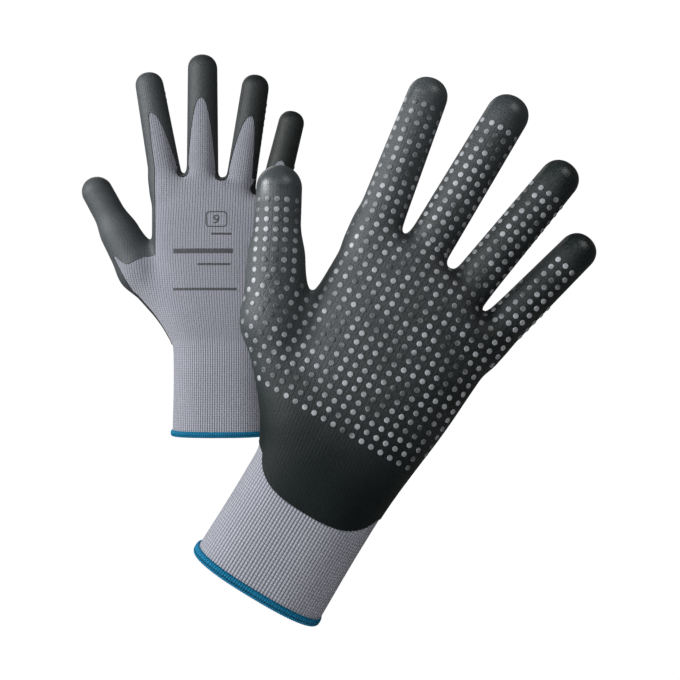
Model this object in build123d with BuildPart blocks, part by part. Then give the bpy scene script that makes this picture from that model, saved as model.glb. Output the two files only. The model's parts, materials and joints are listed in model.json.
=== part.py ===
from build123d import *
import os
from collections import namedtuple
from math import cos, radians, sin, sqrt, tan

# A pair of work gloves: seamless knitted liners, dipped in nitrile foam over the palm
# and fingers, with rows of grip dots and an overlocked cuff edge. Millimetres.
#
# The right glove stands upright with its origin at the centre of the cuff mouth.
# +Z runs up the fingers, the thumb is at -X, the palm faces +Y and the back faces -Y.
# The left glove is its mirror image. It leans over in front, with its palm to -Y.
# Each finger is cut at its knuckles: a V on the palm side gives the bend its room.

# --- fabric, coating and dots ---
liner_thickness = 1.0
coating_thickness = 0.45
dot_diameter = 2.4
dot_height = 0.35
dot_sink = 0.1             # how far each dot is bonded into the coating
dot_pitch_across = 4.7
dot_pitch_along = 4.4
dot_rows_start = 23.0      # from the top of the cuff to the first row of dots
dot_edge_margin = 6.0      # bare coating between the dots and the side of the hand
dot_web_margin = 4.0       # bare coating between the dots and the finger webs

# --- cuff ---
cuff_width = 64.0
cuff_depth = 46.0
cuff_length = 62.0
hem_height = 4.0
hem_thread = 0.7           # how far the overlock thread stands off the knit, each way

# --- hand ---
palm_length = 108.0        # from the top of the cuff to the web beside the middle finger
web_slope = 12.0           # degrees that the line of the finger webs drops to the little finger
web_depth = 23.0           # thickness of the hand at the finger webs
wrap = 3.0                 # how far the coating comes round each side towards the back
coating_tail = 16.0        # how far the palm coating runs down over the cuff
coating_tail_width = 50.0
coating_tail_radius = 16.0

# Cross-sections of the hand between the cuff and the finger webs.
Section = namedtuple("Section", "height thumb_side little_side depth")
hand_sections = [
    Section(height=23.0, thumb_side=-36.0, little_side=33.5, depth=40.0),
    Section(height=50.0, thumb_side=-46.0, little_side=36.5, depth=35.0),
    Section(height=68.0, thumb_side=-46.0, little_side=38.3, depth=32.0),
]
knuckle_drop = 20.0        # from the finger webs down to the knuckle section
knuckle_section = Section(palm_length - knuckle_drop, -43.5, 40.0, 29.0)

# --- fingers ---
# lean is in degrees towards +X, hinges are the distances of the three knuckle folds from
# the root, and window is how far up the back the bare knit runs.
Finger = namedtuple("Finger", "name base tip length lean hinges window")
fingers = [
    Finger("index", 21.0, 18.5, 66.5, -10.4, (8.0, 29.0, 49.0), 35.0),
    Finger("middle", 20.5, 18.5, 80.0, 0.0, (11.0, 34.0, 58.0), 50.0),
    Finger("ring", 19.5, 17.5, 73.0, 9.5, (10.0, 32.0, 53.0), 43.0),
    Finger("little", 18.5, 16.5, 54.5, 14.0, (8.0, 24.0, 40.0), 20.0),
]
web_gaps = (3.9, 4.6, 3.1)  # knit between neighbouring finger roots
middle_finger_x = -12.0
finger_root_depth = 14.0    # how far each finger tube runs down inside the hand
segment_names = ("proximal", "middle", "tip")
bend_limits = (65.0, 75.0, 40.0)
window_root = 0.8           # half width of the bare window at the root, as a part of the radius
window_side = 0.62          # and half way up

# --- thumb ---
thumb = Finger("thumb", 23.0, 20.0, 50.0, -26.6, (9.0, 29.0), 15.0)
thumb_root_x = -62.2
thumb_root_height = 62.4    # above the top of the cuff
thumb_forward = 4.0         # the thumb sits this far towards the palm side
thumb_root_depth = 13.0
thumb_heel_x = -14.0        # centre of the thumb muscle at the wrist
thumb_heel_width = 44.0
thumb_heel_depth = 38.0
thumb_names = ("base", "tip")
thumb_limits = (45.0, 60.0)

# --- knuckle folds ---
fold_slit = 0.6             # gap between two pieces across the back
fold_margin = 3.0           # degrees that each V opens past half of its bend

# --- how the two gloves stand ---
left_x = 38.3
left_y = -212.0
left_z = -49.5
left_lean = 31.0

across_reach = 1.0          # cutters stand this far outside what they cut


def finger_direction(lean):
    """Unit vector up a finger that leans by the given angle."""
    return Vector(sin(radians(lean)), 0, cos(radians(lean)))


def finger_roots():
    """Root point of each finger, side by side along the sloping line of the webs."""
    xs = {1: middle_finger_x}
    xs[0] = xs[1] - fingers[1].base / 2 - web_gaps[0] - fingers[0].base / 2
    for i in (2, 3):
        xs[i] = xs[i - 1] + fingers[i - 1].base / 2 + web_gaps[i - 1] + fingers[i].base / 2
    web_height = cuff_length + palm_length
    drop = tan(radians(web_slope))
    return [Vector(xs[i], 0, web_height - (xs[i] - middle_finger_x) * drop) for i in range(4)]


roots = finger_roots()
thumb_root = Vector(thumb_root_x, thumb_forward, cuff_length + thumb_root_height)


def side_plane(origin, lean):
    """Plane seen from the back of a finger: x across the finger, y up it."""
    across = (cos(radians(lean)), 0, -sin(radians(lean)))
    return Plane(origin=origin, x_dir=across, z_dir=(0, -1, 0))


def web_plane():
    """Sloping plane through the finger webs, centred between the outer finger sides."""
    thumb_edge = roots[0].X - fingers[0].base / 2
    little_edge = roots[3].X + fingers[3].base / 2
    middle_x = (thumb_edge + little_edge) / 2
    drop = (middle_x - middle_finger_x) * tan(radians(web_slope))
    slope = radians(web_slope)
    plane = Plane(
        origin=(middle_x, 0, cuff_length + palm_length - drop),
        x_dir=(cos(slope), 0, -sin(slope)),
        z_dir=(sin(slope), 0, cos(slope)),
    )
    return plane, (little_edge - thumb_edge) / cos(slope)


def cuff_form(inset, below=0.0):
    """Solid cuff, smaller all round by the inset and longer downwards by the second value."""
    with BuildPart() as form:
        with BuildSketch(Plane.XY.offset(-below)):
            SlotOverall(cuff_width - 2 * inset, cuff_depth - 2 * inset)
        extrude(amount=cuff_length + below)
    return form.part


def palm_form(inset):
    """Solid hand from the cuff to the finger webs, smaller all round by the inset."""
    with BuildPart() as form:
        with BuildSketch(Plane.XY.offset(cuff_length)):
            SlotOverall(cuff_width - 2 * inset, cuff_depth - 2 * inset)
        for section in hand_sections + [knuckle_section]:
            width = section.little_side - section.thumb_side
            middle_x = (section.little_side + section.thumb_side) / 2
            with BuildSketch(Plane((middle_x, 0, cuff_length + section.height))):
                SlotOverall(width - 2 * inset, section.depth - 2 * inset)
        plane, width = web_plane()
        with BuildSketch(plane.offset(-inset)):
            SlotOverall(width - 2 * inset, web_depth - 2 * inset)
        loft(ruled=True)
    return form.part


def tube_form(finger, root, inset, depth):
    """Solid finger: a tapered round tube with a domed tip, from a depth below its root."""
    base_radius = finger.base / 2 - inset
    tip_radius = finger.tip / 2 - inset
    dome_start = finger.length - finger.tip / 2
    plane = side_plane(root, finger.lean)
    with BuildPart() as form:
        with BuildSketch(plane):
            with BuildLine():
                Polyline((0, dome_start + tip_radius), (0, -depth), (base_radius, -depth),
                         (base_radius, 0), (tip_radius, dome_start))
                CenterArc((0, dome_start), tip_radius, 0, 90)
            make_face()
        revolve(axis=Axis(root, finger_direction(finger.lean)))
    return form.part


def thumb_heel_form(inset):
    """Solid ball of the thumb, from the wrist up to where the thumb tube begins."""
    start = thumb_root - finger_direction(thumb.lean) * thumb_root_depth
    direction = finger_direction(thumb.lean)
    with BuildPart() as form:
        with BuildSketch(Plane((thumb_heel_x, 0, cuff_length))):
            Ellipse(thumb_heel_width / 2 - inset, thumb_heel_depth / 2 - inset)
        across = (cos(radians(thumb.lean)), 0, -sin(radians(thumb.lean)))
        with BuildSketch(Plane(origin=start, x_dir=across, z_dir=direction)):
            Circle(thumb.base / 2 - inset)
        loft()
    return form.part


def glove_form(inset, below=0.0):
    """The whole hand-shaped solid, smaller all round by the inset."""
    with BuildPart() as form:
        add(cuff_form(inset, below))
        add(palm_form(inset))
        add(thumb_heel_form(inset))
        add(tube_form(thumb, thumb_root, inset, thumb_root_depth))
        for finger, root in zip(fingers, roots):
            add(tube_form(finger, root, inset, finger_root_depth))
    return form.part


def fold_cutter(finger, root, station, limit):
    """Gap at a knuckle: a slit across the back and a V on the palm side."""
    direction = finger_direction(finger.lean)
    hinge = root + direction * station
    across = Vector(cos(radians(finger.lean)), 0, -sin(radians(finger.lean)))
    reach = finger.base / 2 + across_reach
    opening = fold_slit / 2 + reach * tan(radians(limit / 2 + fold_margin))
    with BuildPart() as cutter:
        with BuildSketch(Plane(origin=hinge, x_dir=(0, 1, 0), z_dir=across)):
            Polygon((-reach, -fold_slit / 2), (0, -fold_slit / 2), (reach, -opening),
                    (reach, opening), (0, fold_slit / 2), (-reach, fold_slit / 2), align=None)
        extrude(amount=reach, both=True)
    return cutter.part


def all_folds():
    """Every knuckle gap of one glove."""
    with BuildPart() as cutters:
        for station, limit in zip(thumb.hinges, thumb_limits):
            add(fold_cutter(thumb, thumb_root, station, limit))
        for finger, root in zip(fingers, roots):
            for station, limit in zip(finger.hinges, bend_limits):
                add(fold_cutter(finger, root, station, limit))
    return cutters.part


def back_window(finger, root, depth):
    """Bare knit on the back of a finger: a pointed arch, as deep as half of the finger."""
    half = finger.base / 2
    with BuildPart() as window:
        with BuildSketch(side_plane(root, finger.lean)):
            with BuildLine():
                Polyline((-half * window_side, finger.window / 2), (-half * window_root, 0),
                         (-half * window_root, -depth), (half * window_root, -depth),
                         (half * window_root, 0), (half * window_side, finger.window / 2))
                RadiusArc((half * window_side, finger.window / 2), (0, finger.window),
                          -2 * finger.window)
                RadiusArc((0, finger.window), (-half * window_side, finger.window / 2),
                          -2 * finger.window)
            make_face()
        extrude(amount=finger.base)
    return window.part


def bare_back():
    """All that the dip leaves bare: the cuff, the back of the hand and the finger windows."""
    total = cuff_length + palm_length
    width = 4 * cuff_width
    with BuildPart() as bare:
        # the back of the hand, up to where the finger tubes leave it
        with BuildSketch(Plane((middle_finger_x, -wrap, 0))):
            Rectangle(width, cuff_depth, align=(Align.CENTER, Align.MAX))
        extrude(amount=cuff_length + knuckle_section.height)
        # the cuff, outside the rounded tail of the palm coating
        with BuildSketch(Plane.XZ.offset(-cuff_depth)):
            with Locations((0, cuff_length / 2 - across_reach)):
                Rectangle(width, cuff_length + 2 * across_reach)
            with Locations((0, cuff_length - coating_tail)):
                RectangleRounded(coating_tail_width, 2 * total, coating_tail_radius,
                                 align=(Align.CENTER, Align.MIN), mode=Mode.SUBTRACT)
        extrude(amount=2 * cuff_depth)
        for finger, root in zip(fingers, roots):
            add(back_window(finger, root, palm_length / 2))
        add(back_window(thumb, thumb_root, thumb_root_depth))
    return bare.part


def palm_surface(x, z):
    """Depth of the palm face at a place, or None beside the rounded sides of the hand."""
    wrist = Section(0.0, -cuff_width / 2, cuff_width / 2, cuff_depth)
    web_height = palm_length - (x - middle_finger_x) * tan(radians(web_slope))
    web = Section(web_height, knuckle_section.thumb_side, knuckle_section.little_side, web_depth)
    sections = [wrist] + hand_sections + [knuckle_section, web]
    height = z - cuff_length
    for low, high in zip(sections, sections[1:]):
        if low.height <= height <= high.height:
            share = (height - low.height) / (high.height - low.height)
            radius = (low.depth + share * (high.depth - low.depth)) / 2
            thumb_side = low.thumb_side + share * (high.thumb_side - low.thumb_side)
            little_side = low.little_side + share * (high.little_side - low.little_side)
            past_flat = max(thumb_side + radius - x, x - little_side + radius, 0.0)
            if past_flat < radius - dot_edge_margin:
                return sqrt(radius ** 2 - past_flat ** 2)
    return None


def dot_planes(hand):
    """Where the palm's grip dots stand: straight rows, square to the palm face."""
    columns = int(cuff_width / dot_pitch_across)
    rows = int((palm_length - dot_rows_start) / dot_pitch_along)
    step = dot_diameter / 2
    planes = []
    for row in range(rows + 1):
        z = cuff_length + dot_rows_start + row * dot_pitch_along
        for column in range(-columns, columns + 1):
            x = column * dot_pitch_across
            around = [palm_surface(x + step, z), palm_surface(x - step, z),
                      palm_surface(x, z + dot_web_margin), palm_surface(x, z)]
            if None in around:
                continue
            right, left, above, here = around
            across = Vector(2 * step, right - left, 0)
            along = Vector(0, above - here, dot_web_margin)
            normal = along.cross(across)
            plane = Plane(origin=(x, here, z), x_dir=across, z_dir=normal)
            top = plane.offset(dot_height)
            rim = [top.origin + direction * step for direction in
                   (top.x_dir, -top.x_dir, top.y_dir, -top.y_dir)]
            if not any(hand.is_inside(point) for point in rim):
                planes.append(plane.offset(-dot_sink))
    return planes


def solids_near(shell, points):
    """The solid of a cut shell that lies nearest to each point."""
    return [min(shell.solids(), key=lambda solid: solid.distance_to(point)) for point in points]


def on_finger(finger, root, piece, inset):
    """A point on the palm-side wall of a piece of a finger, inset from the outer surface."""
    stations = (0.0,) + finger.hinges + (finger.length,)
    station = (stations[piece + 1] + stations[piece + 2]) / 2
    share = station / (finger.length - finger.tip / 2)
    radius = (finger.base + share * (finger.tip - finger.base)) / 2 - inset
    return root + finger_direction(finger.lean) * station + Vector(0, radius, 0)


def place_left(layer):
    """A right-hand layer as its left-hand mirror image, leaning in front."""
    mirrored = layer.mirror(Plane.XZ)
    return Location((left_x, left_y, left_z)) * Rotation(0, left_lean, 0) * mirrored


def export_pair(name, *layers):
    """Write one piece of the right glove, as one or more layers, and its mirror image."""
    for side, own in (("right", layers), ("left", [place_left(layer) for layer in layers])):
        piece = own[0] if len(own) == 1 else Compound(children=list(own))
        piece.label = side + "_" + name
        export_step(piece, "parts/" + piece.label + ".step")


os.makedirs("parts", exist_ok=True)

outer = glove_form(0.0)
under_coating = glove_form(coating_thickness)
hollow = glove_form(coating_thickness + liner_thickness, below=across_reach)
folds = all_folds()

with BuildPart() as knit:
    add(under_coating)
    add(hollow, mode=Mode.SUBTRACT)
    add(folds, mode=Mode.SUBTRACT)
    split(bisect_by=Plane.XY.offset(cuff_length), keep=Keep.TOP)

with BuildPart() as dip:
    add(outer)
    add(under_coating, mode=Mode.SUBTRACT)
    add(folds, mode=Mode.SUBTRACT)
    add(bare_back(), mode=Mode.SUBTRACT)

# Cuff: an elastic rib tube whose raw lower edge sits inside the overlock thread.
with BuildPart() as cuff_rib:
    with BuildSketch(Plane.XY.offset(hem_thread)):
        SlotOverall(cuff_width - 2 * coating_thickness, cuff_depth - 2 * coating_thickness)
        offset(amount=-liner_thickness, mode=Mode.SUBTRACT)
    extrude(amount=cuff_length - hem_thread)

with BuildPart() as cuff_hem:
    thread_inset = coating_thickness - hem_thread
    with BuildSketch():
        SlotOverall(cuff_width - 2 * thread_inset, cuff_depth - 2 * thread_inset)
        offset(amount=-(liner_thickness + 2 * hem_thread), mode=Mode.SUBTRACT)
    extrude(amount=hem_height)
    fillet(cuff_hem.edges().group_by(Axis.Z)[0], radius=hem_thread / 2)
    add(cuff_rib.part, mode=Mode.SUBTRACT)

export_pair("cuff_rib", cuff_rib.part)
export_pair("cuff_hem", cuff_hem.part)

palm_point = Vector(0, knuckle_section.depth / 2, cuff_length + palm_length / 2)
for name, layer in (("palm_liner", knit), ("palm_coating", dip)):
    with BuildPart() as palm_piece:
        add(solids_near(layer.part, [palm_point])[0])
    export_pair(name, palm_piece.part)

# Grip dots: short studs that stand on the coating of the palm.
with BuildPart() as palm_dots:
    with Locations(*dot_planes(outer.solid())):
        Cylinder(dot_diameter / 2, dot_height + dot_sink,
                 align=(Align.CENTER, Align.CENTER, Align.MIN))
export_pair("palm_dots", palm_dots.part)

digits = [(thumb, thumb_root, thumb_names)]
digits += [(finger, root, segment_names) for finger, root in zip(fingers, roots)]
for finger, root, names in digits:
    for piece, segment in enumerate(names):
        knit_point = on_finger(finger, root, piece, coating_thickness + liner_thickness / 2)
        dip_point = on_finger(finger, root, piece, coating_thickness / 2)
        with BuildPart() as liner:
            add(solids_near(knit.part, [knit_point])[0])
        with BuildPart() as coating:
            add(solids_near(dip.part, [dip_point])[0])
        if segment == "tip" and finger is not thumb:
            export_pair(finger.name + "_tip", liner.part.solid(), coating.part.solid())
        else:
            export_pair(finger.name + "_" + segment + "_liner", liner.part)
            export_pair(finger.name + "_" + segment + "_coating", coating.part)
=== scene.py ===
import json
import math
import bpy
import numpy as np
from mathutils import Matrix, Vector

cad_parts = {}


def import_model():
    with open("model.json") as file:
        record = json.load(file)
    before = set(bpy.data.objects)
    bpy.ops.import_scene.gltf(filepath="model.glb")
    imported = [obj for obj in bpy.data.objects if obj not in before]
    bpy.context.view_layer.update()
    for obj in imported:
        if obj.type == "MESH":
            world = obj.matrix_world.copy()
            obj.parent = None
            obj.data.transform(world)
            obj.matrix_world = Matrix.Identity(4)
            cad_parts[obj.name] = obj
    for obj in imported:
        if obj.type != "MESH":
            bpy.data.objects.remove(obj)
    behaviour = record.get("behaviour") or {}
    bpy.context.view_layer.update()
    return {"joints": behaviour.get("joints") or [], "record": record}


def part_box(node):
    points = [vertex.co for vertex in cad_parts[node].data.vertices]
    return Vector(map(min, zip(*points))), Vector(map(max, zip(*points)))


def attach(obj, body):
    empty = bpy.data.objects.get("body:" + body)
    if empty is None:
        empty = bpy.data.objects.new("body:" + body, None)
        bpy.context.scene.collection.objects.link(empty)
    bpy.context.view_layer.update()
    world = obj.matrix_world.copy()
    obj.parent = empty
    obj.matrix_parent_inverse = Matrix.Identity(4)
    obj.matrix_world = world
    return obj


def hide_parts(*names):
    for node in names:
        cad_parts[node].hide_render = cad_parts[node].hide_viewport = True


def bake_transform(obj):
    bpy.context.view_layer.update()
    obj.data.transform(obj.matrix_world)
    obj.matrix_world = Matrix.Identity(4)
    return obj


# The looks of a pair of dipped work gloves. Each glove is shaped in its own frame in
# millimetres: the cuff mouth's centre at the origin, fingers up, thumb at -X, palm at +Y.

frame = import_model()

MM = 0.001

# --- sizes of the shape, in millimetres ---
GRID_STEP = 1.1             # mesh size of the knit and coating
GRID_LOW = (-95.0, -28.0, -3.0)
GRID_HIGH = (60.0, 28.0, 254.0)
CLEAR = 30.0                # a depth that is outside the glove, towards the palm or the back
LINER = 1.0
COATING = 0.45
HEM_HEIGHT = 4.0
HEM_BOTTOM = {"right": 1.3, "left": 4.2}
WALE = 1.6                  # width of one column of stitches
HAND_WALES = 58             # columns in half the hand's round, and in half a finger's
DIGIT_WALES = 20
CUFF_TOP = 60.0             # where the rib gives way to plain knit
DOT_RADIUS = 1.3
DOT_HEIGHT = 0.38
DOT_ACROSS = 4.7
DOT_ALONG = 4.4
DOT_START = 85.0            # lowest row of dots
WEB_SOFTNESS = 5.6          # rounding between the fingers
THUMB_SOFTNESS = 10.0       # rounding between thumb and palm
SECTION_POWER = 2.5         # above 2, the hand's section is squarer than an ellipse
WEB_EDGE_SOFTNESS = 8.0     # rounding of the hand's top edge along the webs
WEB_EDGE_DROP = 4.0         # that edge sits this far below the line of the webs
BALL_SOFTNESS = 6.0         # rounding between the stretches of the ball of the thumb
HEEL_SOFTNESS = 10.0        # rounding between the ball of the thumb and the palm
TAPER_START = 10.0          # each digit tapers from this far below its first hinge
TUBE_BELOW = 22.0           # and its tube ends this far below it
DIGIT_FLATNESS = 1.04       # how much wider than deep a digit is

# --- where the dip ends ---
FAR = -9.0                  # stands for well outside the dip
SIDE_WRAP = 3.0             # how far the dip comes round each side towards the back
INDEX_STRIP_X = -42.0       # the dip covers the index edge of the back beyond this line
INDEX_STRIP_START = 118.0   # and above this height
THUMB_STRIP = 10.0          # the thumb's ball is dipped this far out from its axis and beyond
THUMB_ARC = -21.0           # where the dip's edge crosses the back of the thumb, along it
THUMB_ARC_OUTER = 11.6      # how steeply that edge climbs on the thumb's outer side
THUMB_ARC_INNER = 0.1       # and on its inner side
TAIL_TOP = 74.0             # the rounded tail hangs from this height
TAIL_LENGTH = 27.5
TAIL_HALF_WIDTH = 31.0
TAIL_X = 1.0
TAIL_FLARE = 1.4            # how fast the tail widens from this height upwards
TAIL_FLARE_START = 58.0
TAIL_FLARE_LENGTH = 20.0
TAIL_POWER = 3              # above 2, the tail is squarer than an ellipse
WEB_PATCH = 3.6             # radius of the dipped patch round the end of each finger gap
PATCH_SOFTNESS = 4.0
ARCH_POWER = 0.4            # roundness of the bare arches on the backs of the fingers

# Outline of the hand without its thumb: height, thumb side, little finger side, half depth.
HAND = np.array([
    (-5.0, -31.8, 32.3, 22.5),
    (35.0, -30.8, 31.7, 22.0),
    (62.0, -31.0, 32.0, 21.5),
    (75.0, -34.3, 33.1, 20.5),
    (90.0, -38.8, 34.8, 19.0),
    (107.0, -42.6, 36.8, 17.6),
    (127.0, -45.0, 37.7, 16.2),
    (146.0, -44.8, 39.1, 14.6),
    (160.0, -45.2, 40.3, 13.0),
    (180.0, -46.4, 42.0, 11.0),
])
# Ball of the thumb: centre x, centre y, centre z, radius.
THUMB_BALL = np.array([(-25.2, 2.0, 78.0, 13.2), (-53.1, 3.5, 107.8, 12.5)])


def joint_point(name):
    """Where a joint of the right glove sits, in millimetres."""
    joint = next(j for j in frame["joints"] if j["name"] == name)
    return np.array(joint["pos_m"]) / MM


class Digit:
    """A finger or the thumb: its axis, its radii and where it bends."""

    def __init__(self, name, segments, base, tip, cut, window, lean=0.0, aside=0.0,
                 longer=0.0, dome=2.2):
        self.name = name
        self.segments = segments
        self.hinges = [joint_point(f"right_{name}_{s}_bend") for s in segments]
        self.up = self.hinges[-1] - self.hinges[0]
        self.up /= np.linalg.norm(self.up)
        turn = math.radians(lean)
        self.up = np.array([self.up[0] * math.cos(turn) + self.up[2] * math.sin(turn), 0.0,
                            self.up[2] * math.cos(turn) - self.up[0] * math.sin(turn)])
        self.across = np.array([self.up[2], 0.0, -self.up[0]])
        self.origin = self.hinges[0] + self.across * aside
        self.base = base
        self.tip = tip
        self.cut = cut                # first cross-section, seen from the first hinge
        self.window = window          # bare arch on the back: left, right, tip across, tip along
        last = "right_" + name + "_tip" + ("_liner" if name == "thumb" else "")
        top = np.array(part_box(last)[1])[2] / MM + (COATING if name == "thumb" else 0.0)
        self.length = (top - tip - self.origin[2]) / self.up[2] + longer
        self.dome = dome              # 2 is a round end, more is squarer
        self.bends = [float((h - self.origin) @ self.up) for h in self.hinges]

    def local(self, points):
        """Across, towards the palm, and along, for each point."""
        away = points - self.origin
        return away @ self.across, away[:, 1], away @ self.up

    def radius(self, along):
        """Radius of the round tube at a place along it."""
        share = np.clip((along + TAPER_START) / (self.length + TAPER_START), 0.0, 1.0)
        return self.base + share * (self.tip - self.base)

    def cuts(self):
        """Cross-sections that end the pieces of this digit: half way between its bends."""
        middles = [(a + b) / 2 for a, b in zip(self.bends, self.bends[1:])]
        return [self.cut] + middles + [self.length + 3 * self.tip]


DIGITS = [
    Digit("thumb", ("base", "tip"), 10.5, 10.1, -6.0, None, lean=-2.0, longer=0.9, dome=2.0),
    Digit("index", ("proximal", "middle", "tip"), 10.5, 9.1, -8.0, (-5.0, 9.4, -2.0, 28.0),
          lean=0.4, aside=-0.35, longer=-2.4),
    Digit("middle", ("proximal", "middle", "tip"), 10.3, 9.6, -7.0, (-9.4, 9.4, 0.0, 39.0)),
    Digit("ring", ("proximal", "middle", "tip"), 9.8, 8.9, -5.0, (-9.2, 7.6, 1.2, 34.0), lean=-0.9),
    Digit("little", ("proximal", "middle", "tip"), 9.2, 8.4, -8.0, (-7.6, 7.6, 0.5, 12.0)),
]
THUMB = DIGITS[0]


# --- the shape of a gloved hand, as a smooth field ---

def soft_union(a, b, softness):
    """Joins two fields with a rounded inside corner."""
    share = np.clip(0.5 + 0.5 * (b - a) / softness, 0.0, 1.0)
    return b + (a - b) * share - softness * share * (1.0 - share)


def digit_field(digit, points):
    """Distance outside a tapered tube whose end is a slightly square dome."""
    across, depth, along = digit.local(points)
    radial = np.hypot(across, depth * DIGIT_FLATNESS)
    beyond = np.clip(along - digit.length, 0.0, None)
    below = np.clip(-TUBE_BELOW - along, 0.0, None)
    reach = (radial ** digit.dome + beyond ** digit.dome) ** (1.0 / digit.dome)
    return np.hypot(reach, below) - digit.radius(along)


def ball_field(points):
    """Distance outside the ball of the thumb: a tapered capsule up to the thumb's tube."""
    start, end = THUMB_BALL
    top = np.append(THUMB.origin, THUMB.base)
    best = None
    for a, b in ((start, end), (end, top)):
        line = b[:3] - a[:3]
        share = np.clip(((points - a[:3]) @ line) / (line @ line), 0.0, 1.0)
        centre = a[:3] + share[:, None] * line
        distance = np.linalg.norm(points - centre, axis=1) - (a[3] + share * (b[3] - a[3]))
        best = distance if best is None else soft_union(best, distance, BALL_SOFTNESS)
    return best


def hand_sizes(heights):
    """Smoothed outline of the hand at each height: thumb side, little side, half depth."""
    spread = np.linspace(-9.0, 9.0, 7)
    columns = []
    for column in (1, 2, 3):
        near = [np.interp(heights + s, HAND[:, 0], HAND[:, column]) for s in spread]
        columns.append(sum(near) / len(spread))
    return columns


def web_height(x):
    """Height of the line of finger webs across the hand."""
    return np.interp(x, [-46.0, -24.0, 2.0, 23.0, 40.0], [176.0, 173.5, 172.5, 161.5, 158.0])


def hand_field(points):
    """Distance outside the hand: a squared ellipse at each height, closed at the webs."""
    thumb_side, little_side, half_depth = hand_sizes(points[:, 2])
    middle = (thumb_side + little_side) / 2
    half_width = (little_side - thumb_side) / 2
    wide = np.abs((points[:, 0] - middle) / half_width) ** SECTION_POWER
    deep = np.abs(points[:, 1] / half_depth) ** SECTION_POWER
    reach = (wide + deep) ** (1.0 / SECTION_POWER)
    slope = np.hypot(wide / half_width * half_depth, deep) / np.maximum(wide + deep, 1e-9)
    section = (reach - 1.0) * half_depth / np.maximum(slope, 0.35)
    top = points[:, 2] - web_height(points[:, 0]) + WEB_EDGE_DROP
    return -soft_union(-section, -top, WEB_EDGE_SOFTNESS)


def glove_field(points):
    """Distance outside the whole coated glove, negative inside."""
    result = hand_field(points)
    result = soft_union(result, ball_field(points), HEEL_SOFTNESS)
    result = soft_union(result, digit_field(THUMB, points), THUMB_SOFTNESS)
    for digit in DIGITS[1:]:
        result = soft_union(result, digit_field(digit, points), WEB_SOFTNESS)
    return result


def field_slope(points, step=0.05):
    """Gradient of the glove's field, by central differences."""
    slope = np.empty_like(points)
    for axis in range(3):
        shift = np.zeros(3)
        shift[axis] = step
        slope[:, axis] = glove_field(points + shift) - glove_field(points - shift)
    return slope / (2.0 * step)


# --- meshes as arrays: points, triangles and values carried by each point ---

class Skin:
    """A triangle mesh with named values at its points."""

    def __init__(self, points, faces, values, digit=None):
        self.points = points
        self.faces = faces
        self.values = values
        self.digit = digit            # the digit that it covers, none for the hand

    def compact(self):
        """The same mesh without unused points."""
        used, faces = np.unique(self.faces, return_inverse=True)
        values = {key: value[used] for key, value in self.values.items()}
        return Skin(self.points[used], faces.reshape(-1, 3), values, self.digit)

    def clipped(self, height):
        """The part where the given value at each point is above zero, cut clean."""
        above = height[self.faces] > 0.0
        count = above.sum(1)
        kept = [self.faces[count == 3]]
        mixed = self.faces[(count == 1) | (count == 2)]
        flags = height[mixed] > 0.0
        single = flags.sum(1) == 1
        lone = np.where(single, flags.argmax(1), (~flags).argmax(1))
        rows = np.arange(len(mixed))
        a = mixed[rows, lone]
        b = mixed[rows, (lone + 1) % 3]
        c = mixed[rows, (lone + 2) % 3]
        edges = np.sort(np.concatenate([np.stack([a, b], 1), np.stack([a, c], 1)]), axis=1)
        edges, place = np.unique(edges, axis=0, return_inverse=True)
        place = place.reshape(-1) + len(self.points)
        ab, ac = place[:len(a)], place[len(a):]
        kept.append(np.stack([a, ab, ac], 1)[single])
        kept.append(np.stack([ab, b, c], 1)[~single])
        kept.append(np.stack([ab, c, ac], 1)[~single])
        low, high = edges[:, 0], edges[:, 1]
        share = height[low] / (height[low] - height[high])

        def between(array):
            weight = share if array.ndim == 1 else share[:, None]
            return np.concatenate([array, array[low] + weight * (array[high] - array[low])])

        values = {key: between(value) for key, value in self.values.items()}
        return Skin(between(self.points), np.concatenate(kept), values, self.digit).compact()

    def mapped(self, digit=None):
        """The same mesh with its knit coordinates and coating values."""
        self.digit = digit
        u, v = digit_wales(digit, self.points) if digit else hand_wales(self.points)
        plain = digit is None or digit is THUMB
        coat = hand_coat(self.points) if plain else finger_coat(digit, self.points)
        self.values.update(u=u, v=v, coat=coat)
        return self


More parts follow.
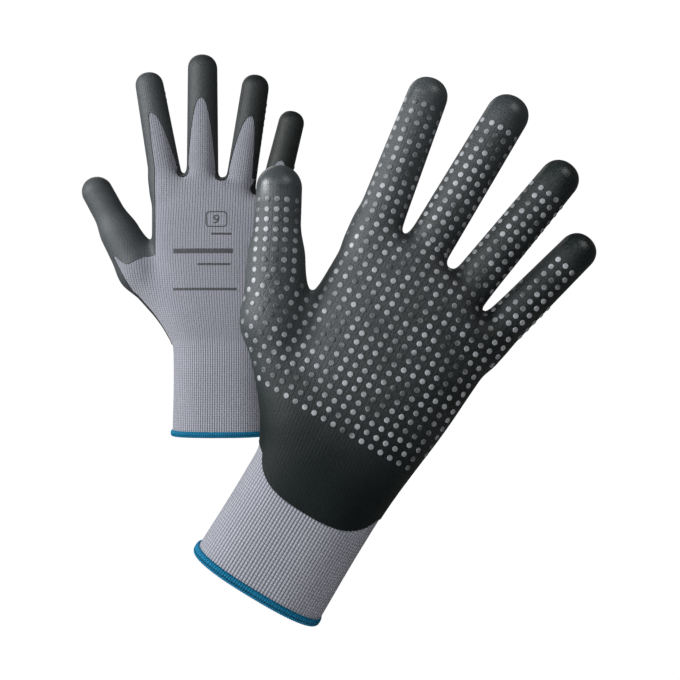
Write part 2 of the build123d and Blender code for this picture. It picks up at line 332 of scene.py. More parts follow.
def surface_net(low, high, step):
    """Mesh of the field's zero surface on a grid: one point in each cell that it crosses,
    at the mean of its edge crossings, joined across each grid edge with a sign change."""
    axes = [np.arange(a, b + step, step) for a, b in zip(low, high)]
    grid = np.stack(np.meshgrid(*axes, indexing="ij"), -1)
    field = np.concatenate([glove_field(slab.reshape(-1, 3)) for slab in grid])
    field = field.reshape(grid.shape[:3])
    sizes = np.array(field.shape) - 1
    total = np.zeros(tuple(sizes) + (3,))
    count = np.zeros(tuple(sizes))
    corners = [np.array([i, j, k]) for i in (0, 1) for j in (0, 1) for k in (0, 1)]
    for start in corners:
        for axis in range(3):
            if start[axis] == 1:
                continue
            end = start.copy()
            end[axis] = 1
            a = field[tuple(slice(s, s + n) for s, n in zip(start, sizes))]
            b = field[tuple(slice(s, s + n) for s, n in zip(end, sizes))]
            crossed = (a < 0) != (b < 0)
            share = np.where(crossed, a / np.where(crossed, a - b, 1.0), 0.0)
            for part in range(3):
                offset = start[part] + (share if part == axis else 0.0)
                total[..., part] += np.where(crossed, offset, 0.0)
            count += crossed
    cells = np.argwhere(count > 0)
    where = tuple(cells.T)
    first = np.array([x[0] for x in axes])
    points = (cells + total[where] / count[where][:, None]) * step + first
    number = np.full(tuple(sizes), -1)
    number[where] = np.arange(len(cells))
    quads = []
    for axis in range(3):
        u, v = (axis + 1) % 3, (axis + 2) % 3
        inner = [slice(1, -1)] * 3
        inner[axis] = slice(0, -1)
        shifted = list(inner)
        shifted[axis] = slice(1, None)
        a, b = field[tuple(inner)] < 0, field[tuple(shifted)] < 0
        for crossed, flip in ((a & ~b, False), (~a & b, True)):
            at = np.argwhere(crossed)
            at[:, u] += 1
            at[:, v] += 1
            ring = []
            for du, dv in ((-1, -1), (0, -1), (0, 0), (-1, 0)):
                near = at.copy()
                near[:, u] += du
                near[:, v] += dv
                ring.append(number[tuple(near.T)])
            quads.append(np.stack(ring[::-1] if flip else ring, 1))
    quads = np.concatenate(quads)
    return points, np.concatenate([quads[:, [0, 1, 2]], quads[:, [0, 2, 3]]])


def nearest_digit(points):
    """Which digit each point belongs to."""
    return np.argmin([digit_field(digit, points) for digit in DIGITS], axis=0)


def web_bottoms():
    """Where each gap between two fingers ends, in the plane y = 0: the lowest height at
    which the field rises above zero between their axes."""
    bottoms = []
    for first, second in zip(DIGITS[1:], DIGITS[2:]):
        heights = np.arange(140.0, 200.0, 0.25)
        start = first.origin[0] + (heights - first.origin[2]) * first.up[0] / first.up[2]
        end = second.origin[0] + (heights - second.origin[2]) * second.up[0] / second.up[2]
        x = start + (end - start) * np.linspace(0.2, 0.8, 31)[:, None]
        z = np.broadcast_to(heights, x.shape)
        field = glove_field(np.stack([x, x * 0.0, z], -1).reshape(-1, 3)).reshape(x.shape)
        level = int(np.argmax(field.max(0) > 0.0))
        bottoms.append((x[field[:, level].argmax(), level], heights[level]))
    return bottoms


WEBS = web_bottoms()


def web_patches(points):
    """Above zero in a round patch at the end of each gap between fingers."""
    gaps = [np.hypot(points[:, 0] - x, points[:, 2] - z) for x, z in WEBS]
    return WEB_PATCH - np.minimum.reduce(gaps)


def hand_coat(points):
    """Above zero where the dip covers the hand and thumb: the palm side, a strip up the
    index edge, an arc across the back of the thumb, and a round tail over the cuff."""
    x, y, z = points.T
    index_side = np.where(z > INDEX_STRIP_START, INDEX_STRIP_X - x, FAR)
    across, _, along = THUMB.local(points)
    outer = np.clip((-across - 1.4) / 7.5, 0.0, None)
    inner = np.clip(across - 10.0, 0.0, None)
    thumb_back = along - (THUMB_ARC + THUMB_ARC_OUTER * outer ** 3 + THUMB_ARC_INNER * inner ** 2)
    beside = (along < 6.0) & (along > -42.0) & (z > 90.0)
    thumb_edge = np.where(beside, -THUMB_STRIP - across, FAR)
    dipped = np.maximum.reduce([y + SIDE_WRAP, index_side, thumb_back, thumb_edge])
    dipped = -soft_union(-dipped, -web_patches(points), PATCH_SOFTNESS)
    half_width = TAIL_HALF_WIDTH + TAIL_FLARE * np.clip(z - TAIL_FLARE_START, 0.0, TAIL_FLARE_LENGTH)
    aside = np.abs((x - TAIL_X) / half_width)
    down = np.clip((TAIL_TOP - z) / TAIL_LENGTH, 0, None)
    tail = (aside ** TAIL_POWER + down ** TAIL_POWER) ** (1 / TAIL_POWER)
    return np.minimum(dipped, (1.0 - np.where(z < TAIL_TOP, tail, 0.0)) * 20.0)


def finger_coat(digit, points):
    """Above zero outside the bare arch on the back of a finger: each side's distance from
    the middle is a power of the distance down from the arch's tip."""
    across, depth, along = digit.local(points)
    left, right, tip_across, tip_along = digit.window
    drop = (tip_along - along) / (tip_along - digit.cut)
    spread = np.where(drop > 0.0, np.clip(drop, 0.0, 1.0) ** ARCH_POWER, drop * 3.0)
    low = tip_across + (left - tip_across) * spread
    high = tip_across + (right - tip_across) * spread
    arch = np.maximum.reduce([depth + SIDE_WRAP, low - across, across - high])
    return -soft_union(-arch, -web_patches(points), PATCH_SOFTNESS)


def hand_wales(points):
    """Knit coordinates of the hand: columns counted round it from the middle of the back,
    where each height has the same number, and the height itself."""
    x, y, z = points.T
    thumb_side, little_side, half_depth = hand_sizes(z)
    middle = (thumb_side + little_side) / 2
    flat = np.clip((little_side - thumb_side) / 2 - half_depth, 0.0, None)
    half_round = 2 * flat + half_depth * math.pi
    out = np.abs(x - middle)
    turn = np.arctan2(np.clip(out - flat, 0, None), -y)
    back = np.where(out < flat, out, flat + half_depth * turn)
    u = np.where((out < flat) & (y > 0), half_round - out, back)
    planar = np.clip((z - 62.0) / 24.0, 0.0, 1.0) * (x < middle)
    u = u + (np.where(y > -3.0, half_round - out, out) - u) * planar
    return u / half_round * HAND_WALES * WALE * np.sign(x - middle), z


def digit_wales(digit, points):
    """Knit coordinates of a digit: columns round its axis from the back, and along it."""
    across, depth, along = digit.local(points)
    return np.arctan2(across, -depth) / math.pi * DIGIT_WALES * WALE, along + digit.origin[2]


def glove_skin():
    """The coated glove's whole outer surface, with the digit that each point is nearest."""
    points, faces = surface_net(GRID_LOW, GRID_HIGH, GRID_STEP)
    for _ in range(4):
        slope = field_slope(points)
        steep = np.maximum((slope ** 2).sum(1), 0.05)
        points = points - slope * (glove_field(points) / steep)[:, None]
    slope = field_slope(points)
    normals = slope / np.linalg.norm(slope, axis=1)[:, None]
    return Skin(points, faces, {"normal": normals, "owner": nearest_digit(points).astype(float)})


# --- turning arrays into Blender pieces ---

LEFT_MOUNT = next(m for m in frame["record"]["mounts"] if m["name"] == "left_wrist")
left_up = -Vector(LEFT_MOUNT["axis"])
lean = math.atan2(left_up.x, left_up.z)
mirror = Matrix.Diagonal((1.0, -1.0, 1.0, 1.0))
PLACES = {
    "right": Matrix.Scale(MM, 4),
    "left": Matrix.Translation(LEFT_MOUNT["pos_m"]) @ Matrix.Rotation(lean, 4, "Y") @ mirror
    @ Matrix.Scale(MM, 4),
}


def placed(side, points):
    """Glove points in millimetres, as row-frame points in metres."""
    place = np.array(PLACES[side])
    return points @ place[:3, :3].T + place[:3, 3]


def build(side, name, points, faces, normals, u=None, v=None, half_round=None):
    """A mesh object from arrays, in the place of one glove. Faces that cross the back of
    the knit's count, where u jumps from its highest to its lowest, go on past the highest."""
    mesh = bpy.data.meshes.new(f"{side}_{name}")
    if side == "left":
        faces = faces[:, ::-1]
    mesh.from_pydata(placed(side, points).tolist(), [], faces.tolist())
    mesh.shade_smooth()
    turn = np.array(PLACES[side])[:3, :3] / MM
    mesh.normals_split_custom_set_from_vertices((normals @ turn.T).tolist())
    if u is not None:
        layer = mesh.uv_layers.new(name="knit")
        flat = faces.reshape(-1)
        corner_u = u[flat].reshape(faces.shape)
        if half_round is not None:
            jump = (corner_u.max(1) - corner_u.min(1) > half_round)[:, None]
            corner_u = np.where(jump & (corner_u < 0), corner_u + 2 * half_round, corner_u)
        corners = np.stack([corner_u.reshape(-1), v[flat]], 1)
        layer.data.foreach_set("uv", corners.astype(np.float32).reshape(-1))
    piece = bpy.data.objects.new(f"{side}_{name}", mesh)
    bpy.context.scene.collection.objects.link(piece)
    return piece


def shell(side, name, skin, outer, inner, material):
    """A closed layer of fabric or coating between two depths under the outer surface."""
    normals = skin.values["normal"]
    count = len(skin.points)
    edges = skin.faces[:, [0, 1, 1, 2, 2, 0]].reshape(-1, 2)
    ordered = np.sort(edges, axis=1)
    _, index, uses = np.unique(ordered, axis=0, return_index=True, return_counts=True)
    rim = edges[index[uses == 1]]
    a, b = rim[:, 0], rim[:, 1]
    strips = np.concatenate([np.stack([b, a, a + count], 1),
                             np.stack([b, a + count, b + count], 1)])
    points = np.concatenate([skin.points - normals * outer, skin.points - normals * inner])
    faces = np.concatenate([skin.faces, skin.faces[:, ::-1] + count, strips])
    u = np.tile(skin.values["u"], 2)
    v = np.tile(skin.values["v"], 2)
    wales = DIGIT_WALES if skin.digit else HAND_WALES
    both = np.concatenate([normals, -normals])
    piece = build(side, name, points, faces, both, u, v, wales * WALE)
    if material is FOAM:
        # The pale attribute is painted light: a paler coating towards the thumb side, which the key
        # light falls on.
        for label, value in (("gloss", tip_gloss(skin)), ("pale", painted_side_light(skin))):
            layer = piece.data.attributes.new(label, "FLOAT", "POINT")
            layer.data.foreach_set("value", np.tile(value, 2).astype(np.float32))
    piece.data.materials.append(material)
    return piece


def tip_gloss(skin):
    """How far the dip is smoothed, from 0 to 1 over the last stretch of a digit."""
    if skin.digit is None:
        return np.zeros(len(skin.points))
    _, depth, along = skin.digit.local(skin.points)
    palm_side = np.clip(depth / 4.0, 0.0, 1.0)
    return np.clip((along - skin.digit.length + 8.0) / 7.0, 0.0, 1.0) * palm_side


def painted_side_light(skin):
    """Painted light: the coating's colour is made paler towards the thumb side, which the key light
    falls on: 0 to 1 across the glove.
    """
    return np.clip((32.0 - skin.points[:, 0]) / 85.0, 0.0, 1.0)


def along_digit(side, digit, along):
    """A row-frame point on a digit's axis."""
    return tuple(placed(side, (digit.origin + digit.up * along)[None])[0])


def fasten(piece, side, digit=None, number=0):
    """Ties a piece to the palm, or bakes a digit's piece in place without bending it."""
    if digit is None:
        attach(piece, side + "_palm")
        return
    start, end = digit.cuts()[number], digit.cuts()[number + 1]
    end = min(end, 2 * digit.bends[number] - start + 2.0)
    along_digit(side, digit, start + 0.4)
    along_digit(side, digit, end - 0.4)
    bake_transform(piece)


# --- materials ---

class Wire:
    """A number in a node tree, with sums and functions as nodes."""

    def __init__(self, tree, socket):
        self.tree = tree
        self.socket = socket

    def math(self, operation, other=None):
        node = self.tree.nodes.new("ShaderNodeMath")
        node.operation = operation
        self.tree.links.new(self.socket, node.inputs[0])
        if isinstance(other, Wire):
            self.tree.links.new(other.socket, node.inputs[1])
        elif other is not None:
            node.inputs[1].default_value = other
        return Wire(self.tree, node.outputs[0])

    def __add__(self, other):
        return self.math("ADD", other)

    def __sub__(self, other):
        return self.math("SUBTRACT", other)

    def __mul__(self, other):
        return self.math("MULTIPLY", other)

    def smooth(self, low, high):
        """0 below low, 1 above high, smooth between."""
        node = self.tree.nodes.new("ShaderNodeMapRange")
        node.interpolation_type = "SMOOTHSTEP"
        self.tree.links.new(self.socket, node.inputs["Value"])
        node.inputs["From Min"].default_value = low
        node.inputs["From Max"].default_value = high
        return Wire(self.tree, node.outputs["Result"])


def new_material(name):
    """A material, its node tree and its shader."""
    material = bpy.data.materials.new(name)
    material.use_nodes = True
    return material, material.node_tree, material.node_tree.nodes["Principled BSDF"]


def noise(tree, scale, detail=3.0, roughness=0.55):
    """Noise on the piece's own coordinates; scale is in cycles per metre."""
    place = tree.nodes.new("ShaderNodeTexCoord")
    node = tree.nodes.new("ShaderNodeTexNoise")
    node.inputs["Scale"].default_value = scale
    node.inputs["Detail"].default_value = detail
    node.inputs["Roughness"].default_value = roughness
    tree.links.new(place.outputs["Object"], node.inputs["Vector"])
    return Wire(tree, node.outputs["Fac"])


def knit_wires(tree):
    """Knit coordinates of the piece, in millimetres."""
    layer = tree.nodes.new("ShaderNodeUVMap")
    layer.uv_map = "knit"
    split = tree.nodes.new("ShaderNodeSeparateXYZ")
    tree.links.new(layer.outputs["UV"], split.inputs[0])
    return Wire(tree, split.outputs["X"]), Wire(tree, split.outputs["Y"])


def stitches(tree, course):
    """Height of a plain knit: columns of V-shaped stitches, 0 to 1."""
    u, v = knit_wires(tree)
    column = (u * (1.0 / WALE)).math("FRACT")
    slant = (column - 0.5).math("ABSOLUTE") * 1.1
    groove = (column * math.pi).math("SINE").math("POWER", 0.6)
    leg = (column * (2.0 * math.pi)).math("SINE").math("ABSOLUTE")
    row = ((v * (1.0 / course) + slant) * math.pi).math("SINE").math("ABSOLUTE").math("POWER", 0.8)
    return groove * (row * leg * 0.4 + row * 0.25 + 0.35)


def ribs(tree, course):
    """Height of an elastic rib: rounded ridges with a fine course across them, 0 to 1."""
    u, v = knit_wires(tree)
    ridge = (u * (math.pi / WALE)).math("SINE").math("ABSOLUTE").math("POWER", 0.7)
    row = (v * (math.pi / course)).math("SINE").math("ABSOLUTE").math("POWER", 0.5)
    return ridge * (row * 0.55 + 0.45)


def mix_colours(tree, share, low, high):
    """A colour between two, by a wire."""
    node = tree.nodes.new("ShaderNodeMix")
    node.data_type = "RGBA"
    tree.links.new(share.socket, node.inputs["Factor"])
    node.inputs["A"].default_value = (*low, 1.0)
    node.inputs["B"].default_value = (*high, 1.0)
    return node.outputs["Result"]


def bump(tree, shader, height, depth):
    """Raises the shader's surface by a wire, depth in metres."""
    node = tree.nodes.new("ShaderNodeBump")
    node.inputs["Strength"].default_value = 1.0
    node.inputs["Distance"].default_value = depth
    tree.links.new(height.socket, node.inputs["Height"])
    tree.links.new(node.outputs["Normal"], shader.inputs["Normal"])


def knit_material():
    """Grey liner yarn: stitches up the hand, a deeper elastic rib in the cuff."""
    material, tree, shader = new_material("grey_knit")
    _, v = knit_wires(tree)
    plain = stitches(tree, 1.25)
    rib = ribs(tree, 1.5)
    zone = v.smooth(CUFF_TOP + 8.0, CUFF_TOP - 4.0)
    height = plain * (zone * -1.0 + 1.0) + rib * zone
    fibre = noise(tree, 2600.0, 4.0)
    patch = noise(tree, 38.0, 2.0)
    # Painted shade: the colour is darker in the grooves between stitches and ribs, which the bump
    # also follows; the fibre and patch noise is the yarn's own random tone.
    shade = height * 0.75 + fibre * 0.35 + patch * 0.2 - 0.15
    colour = mix_colours(tree, shade, (0.075, 0.078, 0.098), (0.33, 0.338, 0.395))
    tree.links.new(colour, shader.inputs["Base Color"])
    shader.inputs["Roughness"].default_value = 0.9
    shader.inputs["Sheen Weight"].default_value = 0.2
    shader.inputs["Sheen Roughness"].default_value = 0.5
    bump(tree, shader, height + fibre * 0.3, 0.0005)
    return material


def carried(tree, name):
    """A value that the mesh carries at its points."""
    node = tree.nodes.new("ShaderNodeAttribute")
    node.attribute_name = name
    return Wire(tree, node.outputs["Fac"])


def coating_material():
    """Dark nitrile foam: satin and finely speckled, faintly printed by the knit under it and glossier
    at the fingertips.
    Its colour holds painted shade, blacker in the tail over the cuff, and painted light, paler
    towards the thumb side."""
    material, tree, shader = new_material("nitrile_foam")
    _, v = knit_wires(tree)
    crinkle = noise(tree, 1150.0, 4.0, 0.65)
    pores = noise(tree, 1700.0, 2.0, 0.7)
    cloud = noise(tree, 45.0, 3.0)
    under = stitches(tree, 1.25)
    speckle = pores.smooth(0.5, 0.72)
    above_painted_tail_shade = v.smooth(62.0, 118.0)
    # pale is painted light: the coating is paler, and its speckle shows more, on the side that the
    # key light falls on.
    pale = carried(tree, "pale")
    shade = crinkle * 0.7 + cloud * 0.4 + under * 0.15 + pale * 0.55 - 0.62
    # Painted shade: the colour is darkened in the tail low on the cuff.
    shade = shade * (above_painted_tail_shade * 0.9 + 0.1)
    shade = shade + speckle * above_painted_tail_shade * (pale * 0.2 + 0.2)
    colour = mix_colours(tree, shade, (0.0024, 0.0052, 0.005), (0.077, 0.087, 0.094))
    tree.links.new(colour, shader.inputs["Base Color"])
    tip = carried(tree, "gloss")
    rough = (cloud * 0.2 + crinkle * 0.3 + 0.3) * (tip * -0.42 + 1.0)
    tree.links.new(rough.socket, shader.inputs["Roughness"])
    sheen = above_painted_tail_shade * 0.28 + 0.12
    tree.links.new(sheen.socket, shader.inputs["Specular IOR Level"])
    bump(tree, shader, (crinkle + under * 0.45 + pores * 0.5) * (tip * -0.6 + 1.0), 0.00022)
    return material


def dot_material():
    """Grip dots of dark nitrile, paler in patches at random places: the pale patches are painted
    reflection of the lamps on the glossy dots.
    """
    material, tree, shader = new_material("grip_dot_nitrile")
    grain = noise(tree, 1500.0, 3.0)
    cloud = noise(tree, 75.0, 2.0, 0.7).smooth(0.36, 0.62)
    # Painted reflection: the cloud patches lift the dots' colour from dark to pale grey; the grain is
    # their own random tone.
    colour = mix_colours(tree, grain * 0.4 + cloud * 0.8 - 0.15, (0.03, 0.034, 0.036),
                         (0.33, 0.345, 0.37))
    tree.links.new(colour, shader.inputs["Base Color"])
    tree.links.new((grain * 0.3 + 0.3).socket, shader.inputs["Roughness"])
    bump(tree, shader, grain, 0.00008)
    return material


def print_material():
    """Dark transfer ink, worn a little where the yarn stands up."""
    material, tree, shader = new_material("transfer_ink")
    worn = noise(tree, 2200.0, 3.0).smooth(0.35, 0.75)
    colour = mix_colours(tree, worn, (0.012, 0.013, 0.016), (0.075, 0.078, 0.088))
    tree.links.new(colour, shader.inputs["Base Color"])
    shader.inputs["Roughness"].default_value = 0.7
    bump(tree, shader, stitches(tree, 1.25), 0.0002)
    return material


def thread_material():
    """Blue overlock thread, twisted."""
    material, tree, shader = new_material("blue_thread")
    u, v = knit_wires(tree)
    twist = ((u * 9.0 + v * 7.0)).math("SINE") * 0.5 + 0.5
    grain = noise(tree, 3000.0, 3.0)
    # Painted shade: the colour is darker in the grooves of the twist, which the bump also follows;
    # the grain is the thread's own random tone.
    colour = mix_colours(tree, twist * 0.6 + grain * 0.4, (0.0, 0.05, 0.11), (0.0, 0.2, 0.37))
    tree.links.new(colour, shader.inputs["Base Color"])
    shader.inputs["Roughness"].default_value = 0.7
    shader.inputs["Specular IOR Level"].default_value = 0.2
    bump(tree, shader, twist + grain * 0.5, 0.00012)
    return material


KNIT = knit_material()
FOAM = coating_material()
DOTS = dot_material()
THREAD = thread_material()
INK = print_material()


# --- grip dots ---

def dot_seats():
    """Points and normals of the grip dots on the palm side, with the digit of each."""
    seats = []
    rows = np.arange(60) * DOT_ALONG
    columns = (np.arange(-20, 21) + 0.25) * DOT_ACROSS
    across, height = np.meshgrid(columns, rows + DOT_START)
    flat = np.stack([across.ravel(), np.full(across.size, CLEAR), height.ravel()], 1)
    seats.append(("palm", flat))
    for digit in DIGITS:
        columns = np.arange(-2, 3) * DOT_ACROSS * 0.9
        across, along = np.meshgrid(columns, digit.cut + 1.5 + rows)
        inside = along < digit.length - 5.0
        across, along = across[inside], along[inside]
        points = digit.origin + across[:, None] * digit.across + along[:, None] * digit.up
        points[:, 1] += CLEAR
        seats.append((digit.name, points))
    return seats


def drop_on_surface(points):
    """Moves points in along Y until they meet the glove; marks those that do."""
    low = points[:, 1] * 0.0
    high = points[:, 1].copy()
    probe = points.copy()
    probe[:, 1] = low
    met = glove_field(probe) < 0.0
    for _ in range(26):
        probe[:, 1] = (low + high) / 2
        outside = glove_field(probe) > 0.0
        high = np.where(outside, probe[:, 1], high)
        low = np.where(outside, low, probe[:, 1])
    slope = field_slope(probe)
    normals = slope / np.linalg.norm(slope, axis=1)[:, None]
    return probe, normals, met & (normals[:, 1] > 0.3)


def dots(side, name, points, normals):
    """Low domes of a few dozen faces: a ring of eight at the foot and at half height."""
    turns = np.arange(8) * math.pi / 4
    helper = np.where(np.abs(normals[:, [2]]) < 0.8, [[0.0, 0.0, 1.0]], [[1.0, 0.0, 0.0]])
    first = np.cross(helper, normals)
    first /= np.linalg.norm(first, axis=1)[:, None]
    second = np.cross(normals, first)
    corners, shine = [], []
    for radius, rise, tilt in ((1.0, -0.2, 0.9), (0.94, 0.7, 0.45), (0.72, 0.96, 0.08)):
        spoke = (np.cos(turns)[None, :, None] * first[:, None]
                 + np.sin(turns)[None, :, None] * second[:, None])
        corners.append(points[:, None] + spoke * radius * DOT_RADIUS
                       + normals[:, None] * rise * DOT_HEIGHT)
        shine.append(spoke * tilt + normals[:, None] * (1.0 - tilt * 0.6))
    corners.append((points + normals * DOT_HEIGHT)[:, None])
    shine.append(normals[:, None])
    local = np.concatenate(corners, 1)
    shine = np.concatenate(shine, 1)
    shine /= np.linalg.norm(shine, axis=2)[..., None]
    step = np.arange(8)
    ahead = (step + 1) % 8
    faces = []
    for ring in (0, 8):
        faces.append(np.stack([ring + step, ring + ahead, ring + 8 + ahead], 1))
        faces.append(np.stack([ring + step, ring + 8 + ahead, ring + 8 + step], 1))
    faces.append(np.stack([16 + step, 16 + ahead, np.full(8, 24)], 1))
    pattern = np.concatenate(faces)
    all_faces = (pattern[None] + (np.arange(len(points)) * 25)[:, None, None]).reshape(-1, 3)
    piece = build(side, name, local.reshape(-1, 3), all_faces, shine.reshape(-1, 3))
    piece.data.materials.append(DOTS)
    return piece


# --- print on the back of the hand ---

MARK_X, MARK_Z = -1.2, 141.0        # centre of the size mark
FRAME_HALF = (6.6, 4.8)
BARS = [(-29.0, 9.5, 120.5, 3.0), (-13.0, 8.0, 112.0, 1.3), (-29.0, 12.0, 96.0, 1.6),
        (-4.5, 8.5, 131.5, 1.3)]    # start, end, height and thickness


def ribbon(path, width):
    """A flat strip of the given width along a path: points and faces on a 4-wide grid."""
    step = np.gradient(path, axis=0)
    side = np.stack([-step[:, 1], step[:, 0]], 1)
    side /= np.linalg.norm(side, axis=1)[:, None]
    points = path[:, None] + side[:, None] * (np.linspace(-0.5, 0.5, 4) * width)[None, :, None]
    rows = np.arange(len(path) - 1)[:, None] * 4
    a = (rows + np.arange(3)[None]).reshape(-1)
    faces = np.concatenate([np.stack([a, a + 1, a + 5], 1), np.stack([a, a + 5, a + 4], 1)])
    return points.reshape(-1, 2), faces


def mark_strips():
    """Size 9 in a rounded frame, and plain bars: strips in x and z."""
    turn = np.linspace(0.0, 2 * math.pi, 61)
    c, s = np.cos(turn), np.sin(turn)
    frame_path = np.stack([FRAME_HALF[0] * np.sign(c) * np.abs(c) ** 0.35,
                           FRAME_HALF[1] * np.sign(s) * np.abs(s) ** 0.35], 1)
    bowl = np.stack([1.5 * c, 1.05 + 1.35 * s], 1)
    bend = np.linspace(0.0, -1.9, 16)
    tail = np.stack([-1.0 + 2.5 * np.cos(bend), 1.05 + 3.4 * np.sin(bend)], 1)
    centre = np.array([MARK_X, MARK_Z])
    strips = [ribbon(frame_path + centre, 0.75), ribbon(bowl + centre, 0.85),
              ribbon(tail + centre, 0.85)]
    for start, end, height, width in BARS:
        x = np.linspace(start, end, 40)
        strips.append(ribbon(np.stack([x, np.full(40, height)], 1), width))
    return strips


def size_print(side):
    """The printed strips laid on the knit of the back, each a thin closed film.
    The left glove is mirrored as a whole, so its print is turned over first to read."""
    reading = 1.0 if side == "right" else -1.0
    points, faces, count = [], [], 0
    for flat, strip_faces in mark_strips():
        across = MARK_X + (flat[:, 0] - MARK_X) * reading
        points.append(np.stack([across, np.full(len(flat), -CLEAR), flat[:, 1]], 1))
        faces.append(strip_faces + count)
        count += len(flat)
    seated, normals, _ = drop_on_surface(np.concatenate(points))
    film = Skin(seated, np.concatenate(faces), {"normal": normals}).mapped()
    corner = seated[film.faces]
    facing = np.cross(corner[:, 1] - corner[:, 0], corner[:, 2] - corner[:, 0])
    turned = (facing * normals[film.faces[:, 0]]).sum(1) < 0
    film.faces[turned] = film.faces[turned][:, ::-1]
    piece = shell(side, "size_print", film, COATING - 0.07, COATING + 0.05, INK)
    fasten(piece, side)


# --- hem ---

HEM_WRAPS = 150
HEM_THREAD = 0.75           # how far the thread stands off the knit on each side
HEM_SWELL = 0.16            # how much each wrap bulges, as a share of the thickness
HEM_SLANT = 1.6             # slant of the wraps, in radians of one wrap


def hem(side):
    """Overlocked edge: thread wrapped slantwise round the raw edge of the cuff.
    A ring of profile loops follows the cuff's section; each wrap swells the loop."""
    turns = np.linspace(0.0, 2 * math.pi, HEM_WRAPS * 6, endpoint=False)
    loops = np.linspace(0.0, 2 * math.pi, 20, endpoint=False)
    thumb_side, little_side, half_depth = [float(s[0]) for s in hand_sizes(np.array([1.0]))]
    half_width = (little_side - thumb_side) / 2 - COATING - LINER / 2
    half_depth -= COATING + LINER / 2
    power = 2.0 / SECTION_POWER
    c, s = np.cos(turns), np.sin(turns)
    x = half_width * np.sign(c) * np.abs(c) ** power
    y = half_depth * np.sign(s) * np.abs(s) ** power
    tangent = np.stack([np.roll(x, -1) - np.roll(x, 1), np.roll(y, -1) - np.roll(y, 1)], 1)
    step = np.linalg.norm(tangent, axis=1)
    tangent /= step[:, None]
    outward = np.stack([tangent[:, 1], -tangent[:, 0]], 1)
    travel = np.cumsum(step) / 2
    phase = travel[:, None] * (2 * math.pi * HEM_WRAPS / travel[-1]) + HEM_SLANT * np.sin(loops)[None]
    swell = 1.0 + HEM_SWELL * np.sin(phase)
    half_thick = (LINER / 2 + HEM_THREAD) * swell
    half_high = (HEM_HEIGHT / 2) * (1.0 + HEM_SWELL / 4 * np.sin(phase))
    out = half_thick * np.cos(loops)[None]
    square = np.sign(np.sin(loops)) * np.abs(np.sin(loops)) ** 0.7
    up = HEM_BOTTOM[side] + HEM_HEIGHT / 2 + half_high * square
    points = np.stack([x[:, None] + outward[:, :1] * out, y[:, None] + outward[:, 1:] * out,
                       np.broadcast_to(up, out.shape)], -1)
    rows, cols = points.shape[:2]
    i, j = np.meshgrid(np.arange(rows), np.arange(cols), indexing="ij")
    a, b = i * cols + j, (i + 1) % rows * cols + j
    c, d = (i + 1) % rows * cols + (j + 1) % cols, i * cols + (j + 1) % cols
    faces = np.concatenate([np.stack([a, b, c], -1).reshape(-1, 3),
                            np.stack([a, c, d], -1).reshape(-1, 3)])
    flow = np.roll(points, -1, 0) - np.roll(points, 1, 0)
    rise = np.roll(points, -1, 1) - np.roll(points, 1, 1)
    normals = np.cross(flow, rise).reshape(-1, 3)
    normals /= np.linalg.norm(normals, axis=1)[:, None]
    u = np.broadcast_to(travel[:, None], out.shape).reshape(-1)
    v = np.broadcast_to(loops[None] * 1.5, out.shape).reshape(-1)
    piece = build(side, "hem_thread", points.reshape(-1, 3), faces, normals, u, v)
    piece.data.materials.append(THREAD)
    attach(piece, side + "_palm")
    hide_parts(side + "_cuff_hem")


# --- assembly of each glove ---

def digit_skins(skin):
    """The whole skin as the hand's part, and each digit's own part above its first cut."""
    owner = np.round(skin.values["owner"]).astype(int)
    hand_faces = np.ones(len(skin.faces), bool)
    parts = []
    keep = []
    for number, digit in enumerate(DIGITS):
        across, depth, along = digit.local(skin.points)
        mine = (owner == number) & (np.abs(across) < digit.base + 4.0) & (along > digit.cut - 4.0)
        chosen = mine[skin.faces].all(1)
        hand_faces &= ~chosen
        own = Skin(skin.points, skin.faces[chosen], skin.values).compact()
        level = own_along(digit, own) - digit.cut
        parts.append(own.clipped(level).mapped(digit))
        keep.append(own.clipped(-level))
    hand = Skin(skin.points, skin.faces[hand_faces], skin.values).compact()
    return joined([hand] + keep).mapped(), parts


def own_along(digit, skin):
    """Place of each point along a digit."""
    return digit.local(skin.points)[2]


def joined(skins):
    """Several skins as one, with points that meet welded together."""
    shift = np.cumsum([0] + [len(s.points) for s in skins[:-1]])
    points = np.concatenate([s.points for s in skins])
    faces = np.concatenate([s.faces + n for s, n in zip(skins, shift)])
    values = {key: np.concatenate([s.values[key] for s in skins]) for key in skins[0].values}
    _, first, place = np.unique(np.round(points, 5), axis=0, return_index=True, return_inverse=True)
    values = {key: value[first] for key, value in values.items()}
    return Skin(points[first], place.reshape(-1)[faces], values)


def make_glove(side, hand, parts, seats):
    """Liner, coating, dots and hem of one glove; the hand's pieces are tied to its palm."""
    hand = hand.clipped(hand.points[:, 2] - HEM_BOTTOM[side] - 0.8)
    cuff = hand.clipped(CUFF_TOP - hand.points[:, 2])
    body = hand.clipped(hand.points[:, 2] - CUFF_TOP)
    piece = shell(side, "cuff_knit", cuff, COATING, COATING + LINER, KNIT)
    fasten(piece, side)
    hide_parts(side + "_cuff_rib")
    piece = shell(side, "palm_knit", body, COATING, COATING + LINER, KNIT)
    fasten(piece, side)
    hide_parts(side + "_palm_liner")
    piece = shell(side, "palm_foam", hand.clipped(hand.values["coat"]), 0.0, COATING, FOAM)
    fasten(piece, side)
    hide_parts(side + "_palm_coating")
    hem(side)
    size_print(side)
    for digit, part in zip(DIGITS, parts):
        digit_layers(side, digit, part)
    for name, points, normals in seats:
        glove_dots(side, name, points, normals)


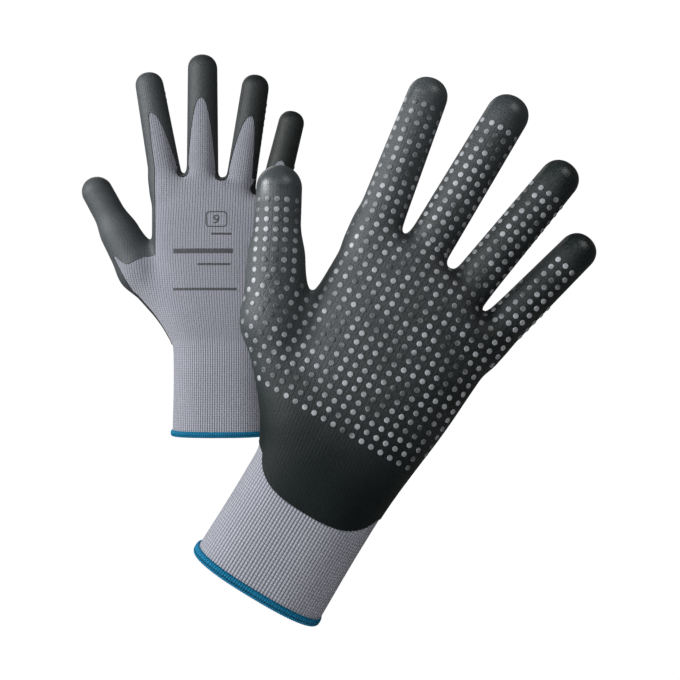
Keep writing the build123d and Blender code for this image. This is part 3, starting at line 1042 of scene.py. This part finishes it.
def digit_layers(side, digit, part):
    """Liner and coating of each piece of a digit."""
    cuts = digit.cuts()
    for number, segment in enumerate(digit.segments):
        along = own_along(digit, part)
        own = part.clipped(along - cuts[number])
        own = own.clipped(cuts[number + 1] - own_along(digit, own))
        whole = f"{side}_{digit.name}_{segment}"
        tip = segment == "tip" and digit is not THUMB
        knit = shell(side, f"{digit.name}_{segment}_knit", own, COATING, COATING + LINER, KNIT)
        fasten(knit, side, digit, number)
        foam = shell(side, f"{digit.name}_{segment}_foam", own.clipped(own.values["coat"]),
                     0.0, COATING, FOAM)
        fasten(foam, side, digit, number)
        if tip:
            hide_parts(whole)
        else:
            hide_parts(whole + "_liner")
            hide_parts(whole + "_coating")


def glove_dots(side, name, points, normals):
    """Raised dots of the palm, tied to the palm, or of a digit, in one piece for each of its
    segments.
    """
    if name == "palm":
        piece = dots(side, "palm_dots_raised", points, normals)
        fasten(piece, side)
        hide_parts(side + "_palm_dots")
        return
    digit = next(d for d in DIGITS if d.name == name)
    cuts = digit.cuts()
    along = (points - digit.origin) @ digit.up
    for number, segment in enumerate(digit.segments):
        here = (along > cuts[number]) & (along < cuts[number + 1])
        if here.any():
            piece = dots(side, f"{name}_{segment}_dots", points[here], normals[here])
            fasten(piece, side, digit, number)


def seated_dots():
    """Every grip dot that finds a place on the coating, sorted by digit."""
    result = []
    for name, points in dot_seats():
        points, normals, met = drop_on_surface(points)
        if name == "palm":
            owner = nearest_digit(points)
            met &= hand_coat(points) > 1.5
            for number, digit in enumerate(DIGITS):
                along = digit.local(points)[2]
                met &= ~((owner == number) & (along > digit.cut - 0.5))
        result.append((name, points[met], normals[met]))
    return result


skin = glove_skin()
hand, parts = digit_skins(skin)
seats = seated_dots()
for side in ("right", "left"):
    make_glove(side, hand, parts, seats)


# --- stage, light and camera ---

FLOOR_CENTRE = (0.06, -0.1, -0.4)
FLOOR_RADIUS = 0.42
CAMERA_PLACE = (0.0779, -0.662, 0.0635)
CAMERA_LENS = 53.55
SURROUND_LIGHT = 0.1        # how brightly the white surroundings light the gloves
SURROUND_SEEN = 0.91        # and how much brighter the camera sees them


def floor():
    """A pale round table well below the held gloves."""
    turns = np.linspace(0, 2 * math.pi, 64, endpoint=False)
    x, y, z = FLOOR_CENTRE
    points = [(x + FLOOR_RADIUS * math.cos(t), y + FLOOR_RADIUS * math.sin(t), z) for t in turns]
    mesh = bpy.data.meshes.new("floor")
    mesh.from_pydata(points, [], [tuple(range(64))])
    disc = bpy.data.objects.new("floor", mesh)
    bpy.context.scene.collection.objects.link(disc)
    material, tree, shader = new_material("pale_floor")
    colour = mix_colours(tree, noise(tree, 12.0), (0.78, 0.78, 0.78), (0.84, 0.84, 0.84))
    tree.links.new(colour, shader.inputs["Base Color"])
    shader.inputs["Roughness"].default_value = 0.7
    mesh.materials.append(material)


def area_light(name, place, aim, size, power):
    """A square soft light."""
    light = bpy.data.lights.new(name, "AREA")
    light.size = size
    light.energy = power
    lamp = bpy.data.objects.new(name, light)
    lamp.location = place
    lamp.visible_camera = False
    lamp.rotation_euler = (Vector(aim) - Vector(place)).to_track_quat("-Z", "Y").to_euler()
    bpy.context.scene.collection.objects.link(lamp)


def world():
    """White surroundings that light the gloves more softly than they show."""
    scene_world = bpy.data.worlds.new("studio")
    bpy.context.scene.world = scene_world
    scene_world.use_nodes = True
    tree = scene_world.node_tree
    back = tree.nodes["Background"]
    path = tree.nodes.new("ShaderNodeLightPath")
    strength = Wire(tree, path.outputs["Is Camera Ray"]) * SURROUND_SEEN + SURROUND_LIGHT
    tree.links.new(strength.socket, back.inputs["Strength"])
    back.inputs["Color"].default_value = (1.0, 1.0, 1.0, 1.0)


floor()
area_light("key", (-1.1, -0.62, 0.5), (0.06, -0.1, 0.1), 0.5, 26.0)
area_light("palm_light", (-0.25, -0.95, 0.4), (0.12, -0.2, 0.1), 0.3, 1.4)
area_light("cuff_light", (-0.22, -0.62, -0.2), (0.03, -0.2, -0.02), 0.16, 1.1)
area_light("tip_light", (0.5, -0.72, 0.6), (0.16, -0.2, 0.18), 0.34, 1.9)
area_light("rim", (-0.35, 0.7, 0.7), (0.05, -0.05, 0.12), 0.5, 1.5)
area_light("back_light", (0.08, 1.1, 0.08), (0.08, -0.1, 0.08), 0.3, 9.0)
world()
bpy.context.scene.view_settings.view_transform = "Standard"

camera_data = bpy.data.cameras.new("camera")
camera_data.lens = CAMERA_LENS
camera_data.sensor_width = 36.0
camera = bpy.data.objects.new("camera", camera_data)
camera.location = CAMERA_PLACE
camera.rotation_euler = (math.radians(90.0), 0.0, 0.0)
bpy.context.scene.collection.objects.link(camera)
bpy.context.scene.camera = camera
